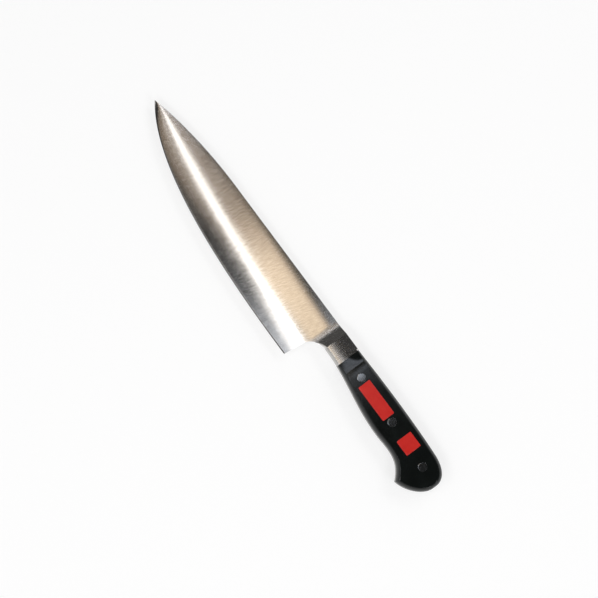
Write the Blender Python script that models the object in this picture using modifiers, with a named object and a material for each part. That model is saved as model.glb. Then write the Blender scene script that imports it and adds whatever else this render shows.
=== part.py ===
"""A forged chef's knife of the gyuto pattern, lying on its side.

The blade, the bolster and the tang are one forging. Two black scales lie on the tang behind the bolster, and three
cutler's rivets, each a pin pressed into a tube, hold them. Two bare red plates are let into the upper scale.

Every piece is drawn in the knife's own frame: x runs forward from the joint between bolster and scales to the tip,
y runs from the back of the knife to its cutting edge, and z is measured from the middle of its thickness. Lengths are
in metres. An empty then carries the knife to where it lies, with its middle over the origin.
"""

import bmesh
import bpy
import numpy as np

# Blade
BLADE_LENGTH = 0.2000
BLADE_DEPTH = 0.0442
TIP_DROP = 0.0095
SPINE_FALL = 0.0840
SPINE_AT_BOLSTER = 0.0027
SPINE_AT_TIP = 0.0010
EDGE_THICKNESS = 0.00025
WEDGE_BULGE = 1.3
HEEL_AHEAD_OF_BOLSTER = 0.0146
HEEL_LEAN = 0.0021
CHOIL_TOP = 0.0285

# Bolster
BOLSTER_LENGTH = 0.0150
NECK_DEPTH = 0.0184
BOLSTER_FRONT = 0.0136
BOLSTER_BACK = 0.0143
BOLSTER_CROWN = 0.0006
BOLSTER_ROUND_WIDTH = 0.0010
BOLSTER_ROUND_DROP = 0.0018
HOLLOW_AT_BACK = 0.0100
HOLLOW_AT_BELLY = 0.0050

# Outline of the handle
HANDLE_LENGTH = 0.1105
FRONT_DEPTH = 0.0191
BACK_SINK = 0.0004
BACK_ARCH = 0.0006
GRIP_DEPTH = 0.0261
GRIP_FROM_BUTT = 0.0525
HOOK_DEPTH = 0.0356
HOOK_FROM_BUTT = 0.0201
SHOULDER_DROP = 0.0011
BUTT_DEPTH = 0.0153
BUTT_FLAT = 0.0030

# Scales and tang
HANDLE_THICKNESS = 0.0166
TANG_THICKNESS = 0.0030
RAMP_LENGTH = 0.0083
SCALE_ROUND_WIDTH = 0.0024
SCALE_SIDE_FLAT = 0.0012

# Rivets
FRONT_RIVET_INSET = 0.0169
REAR_RIVET_INSET = 0.0168
REAR_RIVET_RISE = 0.0011
HEAD_RADIUS = 0.00325
HEAD_THICKNESS = 0.0012
HEAD_CHAMFER = 0.00015
PIN_RADIUS = 0.0012
TUBE_WALL = 0.0005
TUBE_FLOOR = 0.0006

# Red plates
PLATE_THICKNESS = 0.0004
PLATE_CORNER = 0.0007
PLATE_WEB = 0.0006
PLATE_RISE = 0.0003
LONG_PLATE_WIDTH = 0.0100
SQUARE_PLATE_SIDE = 0.0125

# Clearance between pieces that touch
FIT = 0.0003

# Part of a quarter round that the handle's edges have before they break to its flat faces
ROUND_SHARE = 0.66

# Most of a narrow section's depth that each of its two rounded edges may take
MOST_ROUND = 0.45

# How far a cutter runs past what it cuts
OVERRUN = 0.0010

# Points closer than this are one point
SAME_POINT = 0.000001

# How finely the shapes are divided
CURVE_POINTS = 60
BUTT_RINGS = 7
HOOK_RINGS = 9
GRIP_RINGS = 7
BOLSTER_RINGS = 3
HOLLOW_RINGS = 7
CHOIL_RINGS = 5
BLADE_RINGS = 20
ROUND_STEPS = 3
FACE_STEPS = 4
CORNER_STEPS = 4
TURNED_SIDES = 32
SMOOTH_UP_TO = 0.6

# Finishes: colour as sRGB hex, metallic, roughness
SATIN_STEEL = ("B9B6B0", 1.0, 0.32)
RIVET_STEEL = ("8E9092", 1.0, 0.25)
BLACK_PLASTIC = ("16181A", 0.0, 0.35)
RED_PLASTIC = ("CB3632", 0.0, 0.40)

HEEL = (BOLSTER_LENGTH + HEEL_AHEAD_OF_BOLSTER, BLADE_DEPTH)
TIP = (HEEL[0] + BLADE_LENGTH, TIP_DROP)
HOOK_X = HOOK_FROM_BUTT - HANDLE_LENGTH
GRIP_X = GRIP_FROM_BUTT - HANDLE_LENGTH
HALF = HANDLE_THICKNESS / 2
SCALE_SEAT = TANG_THICKNESS / 2 + FIT
BORE_RADIUS = PIN_RADIUS + FIT
TUBE_RADIUS = BORE_RADIUS + TUBE_WALL
HEAD_UNDERSIDE = HALF - HEAD_THICKNESS
COUNTERBORE_RADIUS = HEAD_RADIUS + FIT
COUNTERBORE_FLOOR = HEAD_UNDERSIDE - FIT


def between(start, end, along, down):
    """The point at these shares of the way from start to end, in x and in y."""
    return (start[0] + along * (end[0] - start[0]), start[1] + down * (end[1] - start[1]))


def curve(start, leave, arrive, end):
    """Points of a cubic curve from start to end, with its two handles."""
    t = np.linspace(0, 1, CURVE_POINTS)[:, None]
    first = (1 - t) ** 3 * np.array(start) + 3 * (1 - t) ** 2 * t * np.array(leave)
    return first + 3 * (1 - t) * t**2 * np.array(arrive) + t**3 * np.array(end)


def back_outline():
    """The back of the knife, from butt to tip: round butt, arched handle, straight spine, falling tip."""
    butt = (-HANDLE_LENGTH, BUTT_DEPTH - BUTT_FLAT / 2)
    shoulder = (HOOK_X, SHOULDER_DROP)
    joint = (0.0, BACK_SINK)
    fall = (TIP[0] - SPINE_FALL, 0.0)
    return np.concatenate(
        [
            curve(butt, between(butt, shoulder, 0, 0.50), between(butt, shoulder, 0.30, 0.96), shoulder),
            curve(shoulder, (HOOK_X * 0.7, -BACK_ARCH), (HOOK_X * 0.3, -BACK_ARCH), joint),
            curve(fall, between(fall, TIP, 0.40, 0), between(fall, TIP, 0.74, 0.42), TIP),
        ]
    )


def belly_outline():
    """The underside from butt to heel: round butt, hook, grip, neck, choil and the heel's rear edge."""
    butt = (-HANDLE_LENGTH, BUTT_DEPTH + BUTT_FLAT / 2)
    hook = (HOOK_X, HOOK_DEPTH)
    grip = (GRIP_X, GRIP_DEPTH)
    joint = (0.0, FRONT_DEPTH)
    neck = (BOLSTER_LENGTH, NECK_DEPTH)
    bend = (HEEL[0] - HEEL_LEAN, CHOIL_TOP)
    return np.concatenate(
        [
            curve(butt, between(butt, hook, 0, 0.47), between(butt, hook, 0.60, 0.95), hook),
            curve(hook, between(hook, grip, 0.30, 1.13), between(hook, grip, 0.52, 1.10), grip),
            curve(grip, between(grip, joint, 0.39, 0), between(grip, joint, 0.60, 0.59), joint),
            curve(joint, between(joint, neck, 0.30, 0.80), between(joint, neck, 0.60, 1), neck),
            curve(neck, between(neck, bend, 0.48, 0.05), between(neck, bend, 0.93, 0.50), bend),
            [HEEL],
        ]
    )


def edge_outline():
    """The cutting edge, from heel to tip."""
    return curve(HEEL, between(HEEL, TIP, 0.557, 0), between(HEEL, TIP, 0.857, 0.354), TIP)


BACK = back_outline()
EDGE = edge_outline()
UNDERSIDE = np.concatenate([belly_outline(), EDGE[1:]])


def y_at(outline, x):
    """y of an outline at x."""
    return np.interp(x, outline[:, 0], outline[:, 1])


def steepness(outline, x):
    """How much longer a step straight across in y is than the same step square to the outline."""
    slope = (y_at(outline, x + FIT) - y_at(outline, x - FIT)) / (2 * FIT)
    return np.sqrt(1 + slope**2)


def distance_in(x, y):
    """How far each point lies inside the knife's outline, square to the nearest stretch of it."""
    loop = np.concatenate([BACK[::-1], UNDERSIDE])
    step = np.diff(loop, axis=0)
    start, step = loop[:-1][step.any(axis=1)], step[step.any(axis=1)]
    away = np.stack([x, y], axis=-1)[..., None, :] - start
    along = np.clip((away * step).sum(-1) / (step**2).sum(-1), 0, 1)
    return np.linalg.norm(away - along[..., None] * step, axis=-1).min(-1)


def blade_half(x, y):
    """Half the blade's thickness: a slightly convex wedge from the edge to the spine, thinner towards the tip."""
    edge_y = np.where(x < HEEL[0], HEEL[1], y_at(EDGE, x))
    spine = np.interp(x, [BOLSTER_LENGTH, TIP[0]], [SPINE_AT_BOLSTER / 2, SPINE_AT_TIP / 2])
    rise = np.clip((edge_y - y) / (edge_y - y_at(BACK, x)), 0, 1)
    return EDGE_THICKNESS / 2 + (spine - EDGE_THICKNESS / 2) * (1 - (1 - rise) ** WEDGE_BULGE)


def round_width(x):
    """Width of the rounded edges: narrow on the bolster, full from the end of the scales' ramp."""
    return np.interp(x, [-RAMP_LENGTH, 0], [SCALE_ROUND_WIDTH, BOLSTER_ROUND_WIDTH])


def handle_half(x, y):
    """Half thickness of bolster and scales: a face that is crowned on the bolster and flat behind the ramp, with
    part of an elliptic quarter round down to each side."""
    face = np.interp(x, [-RAMP_LENGTH, 0, BOLSTER_LENGTH], [HALF, BOLSTER_BACK / 2, BOLSTER_FRONT / 2])
    crown = np.interp(x, [-RAMP_LENGTH, 0], [0, BOLSTER_CROWN])
    drop = np.interp(x, [-RAMP_LENGTH, 0], [HALF - SCALE_SEAT - SCALE_SIDE_FLAT, BOLSTER_ROUND_DROP])
    across = np.clip((y - NECK_DEPTH / 2) / (NECK_DEPTH / 2), -1, 1)
    inward = np.clip(distance_in(x, y) / round_width(x), 0, 1)
    rise = np.sqrt(1 - (1 - ROUND_SHARE * inward) ** 2) / np.sqrt(1 - (1 - ROUND_SHARE) ** 2)
    return face - crown * across**2 - drop * (1 - rise)


def forging_half(x, y):
    """Half thickness ahead of the joint: the bolster, then a hollow that sweeps down to the blade."""
    bolster = handle_half(x, y)
    blade = blade_half(x, y)
    length = np.interp(y, [0, NECK_DEPTH], [HOLLOW_AT_BACK, HOLLOW_AT_BELLY])
    left = np.clip(1 - (x - BOLSTER_LENGTH) / length, 0, 1)
    hollow = blade + np.maximum(bolster - blade, 0) * (1 - np.sqrt(1 - left**2))
    return np.where(x <= BOLSTER_LENGTH, bolster, hollow)


def handle_stations(front):
    """The x of the rings from butt to front, closer together where the outline turns."""
    turn = np.linspace(0, np.pi / 2, BUTT_RINGS, endpoint=False)
    butt = -HANDLE_LENGTH + HOOK_FROM_BUTT * (1 - np.cos(turn))
    hook = np.linspace(HOOK_X, GRIP_X, HOOK_RINGS, endpoint=False)
    grip = np.linspace(GRIP_X, -RAMP_LENGTH, GRIP_RINGS, endpoint=False)
    return np.concatenate([butt, hook, grip, [-RAMP_LENGTH, front]])


def forging_stations():
    """The x of the rings from the joint to just behind the tip."""
    bolster = np.linspace(0, BOLSTER_LENGTH, BOLSTER_RINGS)
    turn = np.linspace(0, np.pi / 2, HOLLOW_RINGS + 1)[1:]
    hollow = BOLSTER_LENGTH + HOLLOW_AT_BACK * (1 - np.cos(turn))
    choil = np.linspace(hollow[-1], HEEL[0], CHOIL_RINGS + 1)[1:]
    blade = HEEL[0] + BLADE_LENGTH * np.sin(np.linspace(0, np.pi / 2, BLADE_RINGS + 1)[1:-1])
    return np.concatenate([bolster, hollow, choil, blade])


def columns(x):
    """Where a ring's points lie between back and underside, as shares of its depth: bunched in the rounded edges of
    the handle, and evenly spread along the blade."""
    depth = y_at(UNDERSIDE, x) - y_at(BACK, x)
    steps = (np.arange(ROUND_STEPS + 1) / ROUND_STEPS) ** 2
    upper = min(round_width(x) * steepness(BACK, x) / depth, MOST_ROUND)
    lower = min(round_width(x) * steepness(UNDERSIDE, x) / depth, MOST_ROUND)
    face = upper + (1 - lower - upper) * np.linspace(0, 1, FACE_STEPS + 1)[1:-1]
    handle = np.concatenate([upper * steps, face, 1 - lower * steps[::-1]])
    blade = np.linspace(0, 1, len(handle))
    return handle + (blade - handle) * np.clip((x - BOLSTER_LENGTH) / HEEL_AHEAD_OF_BOLSTER, 0, 1)


def grid(stations):
    """x and y of every ring's points, one row for each ring, from the back to the underside."""
    shares = np.array([columns(x) for x in stations])
    back, under = y_at(BACK, stations)[:, None], y_at(UNDERSIDE, stations)[:, None]
    return np.broadcast_to(stations[:, None], shares.shape), back + (under - back) * shares


def forging_rings():
    """Rings around the whole knife, before the seats are cut: out over one side and back under the other."""
    x, y = grid(np.concatenate([handle_stations(0), forging_stations()[1:]]))
    half = forging_half(x, y)
    above, below = np.stack([x, y, half], -1), np.stack([x, y, -half], -1)
    return np.concatenate([above, below[:, ::-1]], axis=1)


def scale_rings(side):
    """Rings around one scale: over its outer face and back along its flat seat. side is 1 or -1."""
    x, y = grid(handle_stations(-FIT))
    outer = np.stack([x, y, side * handle_half(x, y)], -1)
    seat = np.stack([x, y, np.full(x.shape, side * SCALE_SEAT)], -1)[:, [-1, 0]]
    return np.concatenate([outer, seat], axis=1)


def new_object(name, mesh, collection):
    piece = bpy.data.objects.new(name, mesh)
    collection.objects.link(piece)
    return piece


def loft(name, rings, collection, apex=None):
    """A solid skinned over closed rings, closed by a face over the first and by an apex or a face over the last."""
    shape = bmesh.new()
    rows = [[shape.verts.new(point) for point in ring] for ring in rings]
    for row, following in zip(rows, rows[1:]):
        for i in range(len(row)):
            shape.faces.new((row[i - 1], row[i], following[i], following[i - 1]))
    shape.faces.new(rows[0])
    if apex:
        point = shape.verts.new(apex)
        for i in range(len(rows[-1])):
            shape.faces.new((rows[-1][i - 1], rows[-1][i], point))
    else:
        shape.faces.new(rows[-1])
    bmesh.ops.recalc_face_normals(shape, faces=shape.faces)
    mesh = bpy.data.meshes.new(name)
    shape.to_mesh(mesh)
    shape.free()
    return new_object(name, mesh, collection)


def turned(name, profile, collection):
    """A solid turned about z from (radius, z) points that run down its outer side."""
    mesh = bpy.data.meshes.new(name)
    points = [(radius, 0, z) for radius, z in profile]
    mesh.from_pydata(points, [(i, i + 1) for i in range(len(points) - 1)], [])
    piece = new_object(name, mesh, collection)
    screw = piece.modifiers.new("turn", "SCREW")
    screw.steps = screw.render_steps = TURNED_SIDES
    screw.use_merge_vertices = True
    screw.merge_threshold = SAME_POINT
    return piece


def rounded_plate(name, length, width, corner, thickness, collection):
    """A flat plate with round corners: a filled flat curve, turned into a mesh."""
    outline = bpy.data.curves.new(name, "CURVE")
    outline.dimensions = "2D"
    outline.fill_mode = "BOTH"
    outline.extrude = thickness / 2
    corners = ((1, 1), (-1, 1), (-1, -1), (1, -1))
    spline = outline.splines.new("POLY")
    spline.points.add(len(corners) * CORNER_STEPS - 1)
    spline.use_cyclic_u = True
    for i, point in enumerate(spline.points):
        quarter, step = divmod(i, CORNER_STEPS)
        angle = (quarter + step / (CORNER_STEPS - 1)) * np.pi / 2
        x = corners[quarter][0] * (length / 2 - corner) + corner * np.cos(angle)
        y = corners[quarter][1] * (width / 2 - corner) + corner * np.sin(angle)
        point.co = (x, y, 0, 1)
    drawn = new_object(name + "_outline", outline, collection)
    bpy.context.view_layer.update()
    mesh = bpy.data.meshes.new_from_object(drawn.evaluated_get(bpy.context.evaluated_depsgraph_get()))
    bpy.data.objects.remove(drawn)
    shape = bmesh.new()
    shape.from_mesh(mesh)
    bmesh.ops.remove_doubles(shape, verts=shape.verts, dist=SAME_POINT)
    shape.to_mesh(mesh)
    shape.free()
    return new_object(name, mesh, collection)


def box(name, low, high, collection):
    """A box between its lowest and its highest corner."""
    low, high = np.array(low), np.array(high)
    shape = bmesh.new()
    bmesh.ops.create_cube(shape, size=1)
    bmesh.ops.scale(shape, vec=high - low, verts=shape.verts)
    bmesh.ops.translate(shape, vec=(low + high) / 2, verts=shape.verts)
    mesh = bpy.data.meshes.new(name)
    shape.to_mesh(mesh)
    shape.free()
    return new_object(name, mesh, collection)


def cut(piece, cutter):
    cutting = piece.modifiers.new("cut_" + cutter.name, "BOOLEAN")
    cutting.operation = "DIFFERENCE"
    cutting.solver = "EXACT"
    cutting.object = cutter


def linear(hex_colour):
    """The linear colour of an sRGB hex value, with alpha."""
    shares = np.array([int(hex_colour[i : i + 2], 16) for i in (0, 2, 4)]) / 255
    return (*np.where(shares <= 0.04045, shares / 12.92, ((shares + 0.055) / 1.055) ** 2.4), 1.0)


def finish(piece, name, look):
    """Gives a piece its material, and smooth shading up to its sharp edges."""
    material = bpy.data.materials.new(name)
    material.use_nodes = True
    shader = material.node_tree.nodes["Principled BSDF"]
    shader.inputs["Base Color"].default_value = linear(look[0])
    shader.inputs["Metallic"].default_value = look[1]
    shader.inputs["Roughness"].default_value = look[2]
    piece.data.materials.append(material)
    piece.data.shade_smooth()
    piece.data.set_sharp_from_angle(angle=SMOOTH_UP_TO)


def rivet_places():
    """x and y of the three rivets, on a straight line from the middle of the handle's front to the butt."""
    front_x, rear_x = -FRONT_RIVET_INSET, REAR_RIVET_INSET - HANDLE_LENGTH
    front_y = (y_at(BACK, front_x) + y_at(UNDERSIDE, front_x)) / 2
    rear_y = BUTT_DEPTH - REAR_RIVET_RISE
    return {
        "front": (front_x, front_y),
        "middle": ((front_x + rear_x) / 2, (front_y + rear_y) / 2),
        "rear": (rear_x, rear_y),
    }


def pin_profile():
    """The pin half of a rivet: its head on top, and a pin that ends above the floor of the tube."""
    end = FIT - (HEAD_UNDERSIDE - TUBE_FLOOR)
    return [
        (0, HALF),
        (HEAD_RADIUS - HEAD_CHAMFER, HALF),
        (HEAD_RADIUS, HALF - HEAD_CHAMFER),
        (HEAD_RADIUS, HEAD_UNDERSIDE),
        (PIN_RADIUS, HEAD_UNDERSIDE),
        (PIN_RADIUS, end),
        (0, end),
    ]


def tube_profile():
    """The tube half of a rivet, drawn head up: a tube that ends below the other half's head, with a blind bore."""
    return [
        (0, HALF),
        (HEAD_RADIUS - HEAD_CHAMFER, HALF),
        (HEAD_RADIUS, HALF - HEAD_CHAMFER),
        (HEAD_RADIUS, HEAD_UNDERSIDE),
        (TUBE_RADIUS, HEAD_UNDERSIDE),
        (TUBE_RADIUS, FIT - HEAD_UNDERSIDE),
        (BORE_RADIUS, FIT - HEAD_UNDERSIDE),
        (BORE_RADIUS, HEAD_UNDERSIDE - TUBE_FLOOR),
        (0, HEAD_UNDERSIDE - TUBE_FLOOR),
    ]


def rivet_hole_profile():
    """The hole for a rivet: a counterbore for the head in each scale, and a bore for the tube between them."""
    top, bore = HALF + OVERRUN, TUBE_RADIUS + FIT
    upper = [(0, top), (COUNTERBORE_RADIUS, top), (COUNTERBORE_RADIUS, COUNTERBORE_FLOOR), (bore, COUNTERBORE_FLOOR)]
    return upper + [(radius, -z) for radius, z in reversed(upper)]


def make_forging(parts, cutters):
    """Blade, bolster and tang in one piece: the tang is what is left between the two seats of the scales."""
    forging = loft("blade", forging_rings(), parts, apex=(*TIP, 0))
    low = (-HANDLE_LENGTH - OVERRUN, -BACK_ARCH - OVERRUN, TANG_THICKNESS / 2)
    high = (0, HOOK_DEPTH + OVERRUN, HALF + OVERRUN)
    for name, shift in (("seat_left", 0), ("seat_right", -low[2] - high[2])):
        seat = box(name, low, high, cutters)
        seat.location.z = shift
        cut(forging, seat)
    finish(forging, "satin_steel", SATIN_STEEL)
    return forging


def make_scale(name, side, parts):
    scale = loft(name, scale_rings(side), parts)
    finish(scale, "black_scale", BLACK_PLASTIC)
    return scale


def make_rivet(name, place, parts):
    """The two halves of a rivet, head to head across the handle."""
    pin = turned(f"rivet_{name}_pin", pin_profile(), parts)
    tube = turned(f"rivet_{name}_tube", tube_profile(), parts)
    tube.rotation_euler.x = np.pi
    for half in (pin, tube):
        half.location = (*place, 0)
        finish(half, "rivet_steel", RIVET_STEEL)


def make_rivet_hole(name, place, cutters, *pieces):
    hole = turned(f"hole_{name}", rivet_hole_profile(), cutters)
    hole.location = (*place, 0)
    for piece in pieces:
        cut(piece, hole)


def make_plate(name, place, length, width, scale, parts, cutters):
    """A red plate, flush with the face of its scale, and its recess there."""
    plate = rounded_plate(name, length, width, PLATE_CORNER, PLATE_THICKNESS, parts)
    plate.location = (*place, HALF - PLATE_THICKNESS / 2)
    finish(plate, "red_plate", RED_PLASTIC)
    depth = PLATE_THICKNESS + FIT
    recess = rounded_plate(
        "recess_" + name, length + 2 * FIT, width + 2 * FIT, PLATE_CORNER + FIT, depth + OVERRUN, cutters
    )
    recess.location = (*place, HALF - depth + (depth + OVERRUN) / 2)
    cut(scale, recess)


def build():
    """Makes every piece and lays the knife on its side over the origin."""
    for thing in list(bpy.data.objects):
        bpy.data.objects.remove(thing)
    parts = bpy.data.collections.new("gyuto_knife")
    cutters = bpy.data.collections.new("cutters")
    for collection in (parts, cutters):
        bpy.context.scene.collection.children.link(collection)

    forging = make_forging(parts, cutters)
    left = make_scale("scale_left", 1, parts)
    right = make_scale("scale_right", -1, parts)

    rivets = rivet_places()
    for name, place in rivets.items():
        make_rivet(name, place, parts)
        make_rivet_hole(name, place, cutters, forging, left, right)

    front, middle, rear = (np.array(place) for place in rivets.values())
    plate_y = middle[1] - PLATE_RISE
    long_length = front[0] - middle[0] - 2 * (COUNTERBORE_RADIUS + PLATE_WEB + FIT)
    long_place = ((front[0] + middle[0]) / 2, plate_y)
    square_place = ((middle[0] + rear[0]) / 2, plate_y)
    make_plate("label_plate_long", long_place, long_length, LONG_PLATE_WIDTH, left, parts, cutters)
    make_plate("label_plate_square", square_place, SQUARE_PLATE_SIDE, SQUARE_PLATE_SIDE, left, parts, cutters)

    for cutter in cutters.objects:
        cutter.hide_render = True
        cutter.display_type = "WIRE"
    datum = bpy.data.objects.new("knife_datum", None)
    parts.objects.link(datum)
    middle_x = (TIP[0] - HANDLE_LENGTH) / 2
    middle_y = (BACK[:, 1].min() + BLADE_DEPTH) / 2
    datum.location = (-middle_x, -middle_y, HALF)
    for piece in (*parts.objects, *cutters.objects):
        if piece is not datum:
            piece.parent = datum


build()
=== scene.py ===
import bpy
import numpy as np
from mathutils import Matrix, Vector


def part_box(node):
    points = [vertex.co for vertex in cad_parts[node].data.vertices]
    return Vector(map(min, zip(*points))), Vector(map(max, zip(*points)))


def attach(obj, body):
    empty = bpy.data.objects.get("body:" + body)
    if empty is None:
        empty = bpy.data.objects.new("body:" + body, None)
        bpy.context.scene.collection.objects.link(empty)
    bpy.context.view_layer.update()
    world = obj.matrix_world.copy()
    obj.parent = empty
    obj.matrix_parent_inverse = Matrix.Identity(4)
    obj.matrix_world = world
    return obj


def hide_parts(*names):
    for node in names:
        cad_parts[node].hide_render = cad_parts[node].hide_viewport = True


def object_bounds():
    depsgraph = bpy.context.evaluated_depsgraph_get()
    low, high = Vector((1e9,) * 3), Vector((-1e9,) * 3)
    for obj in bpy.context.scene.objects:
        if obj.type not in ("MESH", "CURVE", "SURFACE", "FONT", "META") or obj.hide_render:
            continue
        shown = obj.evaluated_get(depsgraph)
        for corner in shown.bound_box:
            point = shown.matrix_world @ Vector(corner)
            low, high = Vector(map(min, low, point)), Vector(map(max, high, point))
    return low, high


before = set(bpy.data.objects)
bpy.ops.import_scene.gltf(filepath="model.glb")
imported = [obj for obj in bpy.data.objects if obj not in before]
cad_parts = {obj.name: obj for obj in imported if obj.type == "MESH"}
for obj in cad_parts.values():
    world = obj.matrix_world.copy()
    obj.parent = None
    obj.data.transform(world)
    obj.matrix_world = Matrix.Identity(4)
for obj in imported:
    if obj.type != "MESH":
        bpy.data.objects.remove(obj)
cad_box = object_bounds()


# The forging: blade, bolster and tang are one bar of stainless steel, drop-forged, hardened and ground. A
# belt leaves fine lines from spine to edge on the blade, and the bolster is buffed smoother. The tang fills
# the handle between the scales, and its edge shows as a steel line along the back and the belly.
BLADE_DEPTH = 0.0442
TIP_DROP = 0.0095
SPINE_FALL = 0.0840
SPINE_AT_BOLSTER = 0.0027
SPINE_AT_TIP = 0.0006
SPINE_THINNING = 1.6
SPINE_EASE = 0.00012
WEDGE_THICKNESS = 0.00025
WEDGE_BULGE = 1.8
BEVEL_DEPTH = 0.0007
KEEN_EDGE = 0.00003
HEEL_X = 0.0296
HEEL_LEAN = 0.0021
CHOIL_TOP = 0.0285
BOLSTER_LENGTH = 0.0150
NECK_DEPTH = 0.0184
BOLSTER_FRONT = 0.0136
BOLSTER_BACK = 0.0138
BOLSTER_TOP = 0.0145
CROWN_TO_BACK = 0.00033
CROWN_TO_BELLY = 0.00045
BOLSTER_ROUND_WIDTH = 0.0010
BOLSTER_ROUND_DROP = 0.0018
HOLLOW_AT_BACK = 0.0116
HOLLOW_AT_BELLY = 0.0112
HOLLOW_BEND = 0.6
DULL_AT = 0.0226
DULL_REACH = 0.0050
DULL_FULL = 0.0010
DULL_MORE = 0.17
FRONT_DEPTH = 0.0191
BACK_SINK = 0.0004
BACK_ARCH = 0.0006
GRIP_DEPTH = 0.0261
GRIP_FROM_BUTT = 0.0525
HOOK_DEPTH = 0.0356
HOOK_FROM_BUTT = 0.0201
SHOULDER_DROP = 0.0011
BUTT_DEPTH = 0.0153
BUTT_FLAT = 0.0030
TANG_THICKNESS = 0.0030
TANG_INSET = 0.00003
RAMP_LENGTH = 0.0083
ROLL_START = 0.0140
ROLL_DROP = 0.00007
SCALE_ROUND_WIDTH = 0.0024
SCALE_SIDE_FLAT = 0.0012
ROUND_SHARE = 0.66
MOST_ROUND = 0.45
FRONT_RIVET_INSET = 0.0169
REAR_RIVET_INSET = 0.0168
REAR_RIVET_RISE = 0.0011
BORE_RADIUS = 0.00205
BORE_REACH = 1.6
CAD_GAP = 0.0003
ROW_STEP = 0.0008
HOLLOW_ROW_STEP = 0.0003
BLADE_ROWS = 180
MOST_STEEP = 2

# The knife's own frame, in metres: x forward from the joint of bolster and scales, y from the straight back
# to the edge, z from the middle plane. The CAD boxes say where that is and how long handle and blade are.
blade_low, blade_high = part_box("blade")
scale_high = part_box("scale_left")[1]
DATUM = np.array([scale_high.x + CAD_GAP, blade_high.y - BLADE_DEPTH, (blade_low.z + blade_high.z) / 2])
HALF = scale_high.z - DATUM[2]
HANDLE_LENGTH = DATUM[0] - blade_low.x
SCALE_SEAT = TANG_THICKNESS / 2 + CAD_GAP
HOOK_X = HOOK_FROM_BUTT - HANDLE_LENGTH
GRIP_X = GRIP_FROM_BUTT - HANDLE_LENGTH
HEEL = (HEEL_X, BLADE_DEPTH)
TIP = (blade_high.x - DATUM[0], TIP_DROP)


def between(start, end, along, down):
    """The point at these shares of the way from start to end, in x and in y."""
    return (start[0] + along * (end[0] - start[0]), start[1] + down * (end[1] - start[1]))


def curve(start, leave, arrive, end, count=90):
    """Cubic curve: the ends and their two handles, weighted by (1-t)^3, 3(1-t)^2 t, 3(1-t) t^2 and t^3."""
    t = np.linspace(0, 1, count)[:, None]
    first = (1 - t) ** 3 * np.array(start) + 3 * (1 - t) ** 2 * t * np.array(leave)
    return first + 3 * (1 - t) * t**2 * np.array(arrive) + t**3 * np.array(end)


def back_outline():
    """The back of the knife, from butt to tip: round butt, arched handle, straight spine, falling tip."""
    butt = (-HANDLE_LENGTH, BUTT_DEPTH - BUTT_FLAT / 2)
    shoulder = (HOOK_X, SHOULDER_DROP)
    fall = (TIP[0] - SPINE_FALL, 0.0)
    return np.concatenate([
        curve(butt, between(butt, shoulder, 0, 0.50), between(butt, shoulder, 0.30, 0.96), shoulder),
        curve(shoulder, (HOOK_X * 0.7, -BACK_ARCH), (HOOK_X * 0.3, -BACK_ARCH), (0.0, BACK_SINK)),
        curve(fall, between(fall, TIP, 0.40, 0), between(fall, TIP, 0.74, 0.42), TIP),
    ])


def belly_outline():
    """The underside from butt to heel: round butt, hook, grip, neck, choil and the heel's rear edge."""
    butt = (-HANDLE_LENGTH, BUTT_DEPTH + BUTT_FLAT / 2)
    hook = (HOOK_X, HOOK_DEPTH)
    grip = (GRIP_X, GRIP_DEPTH)
    joint = (0.0, FRONT_DEPTH)
    neck = (BOLSTER_LENGTH, NECK_DEPTH)
    bend = (HEEL_X - HEEL_LEAN, CHOIL_TOP)
    return np.concatenate([
        curve(butt, between(butt, hook, 0, 0.47), between(butt, hook, 0.60, 0.95), hook),
        curve(hook, between(hook, grip, 0.30, 1.13), between(hook, grip, 0.52, 1.10), grip),
        curve(grip, between(grip, joint, 0.39, 0), between(grip, joint, 0.60, 0.59), joint),
        curve(joint, between(joint, neck, 0.30, 0.80), between(joint, neck, 0.60, 1), neck),
        curve(neck, between(neck, bend, 0.48, 0.05), between(neck, bend, 0.93, 0.50), bend),
        [HEEL],
    ])


BACK = back_outline()
EDGE = curve(HEEL, between(HEEL, TIP, 0.557, 0), between(HEEL, TIP, 0.857, 0.354), TIP)
UNDERSIDE = np.concatenate([belly_outline(), EDGE[1:]])


def y_at(outline, x):
    """y of an outline at x, on the straight line between its two nearest points."""
    return np.interp(x, outline[:, 0], outline[:, 1])


def steepness(outline, x, reach=0.0003):
    """How much longer a step straight across in y is than the same step square to the outline."""
    slope = (y_at(outline, x + reach) - y_at(outline, x - reach)) / (2 * reach)
    return np.sqrt(1 + slope**2)


def distance_in(x, y):
    """How far each point lies inside the outline: the least of its distances to the outline's straight
    pieces, from the butt to a little past the heel. The nearest point of a piece is its start plus the
    point's share of the way along it, kept between 0 and 1."""
    loop = np.concatenate([BACK[::-1], UNDERSIDE])
    loop = loop[loop[:, 0] < HEEL_X + HOLLOW_AT_BACK] @ np.array([1, 1j])
    step = np.diff(loop)
    start, step = loop[:-1][step != 0], step[step != 0]

    def nearest(row):
        """The least distance of each point of a row to the pieces, all as complex numbers x + iy."""
        away = row[:, None] - start
        along = np.clip((away * step.conj()).real / np.abs(step) ** 2, 0, 1)
        return np.abs(away - along * step).min(axis=1)

    return np.array([nearest(row) for row in x + 1j * y])


def round_width(x):
    """Width of the rounded edges: narrow on the bolster, full from the end of the scales' ramp."""
    return np.interp(x, [-RAMP_LENGTH, 0], [SCALE_ROUND_WIDTH, BOLSTER_ROUND_WIDTH])


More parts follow.
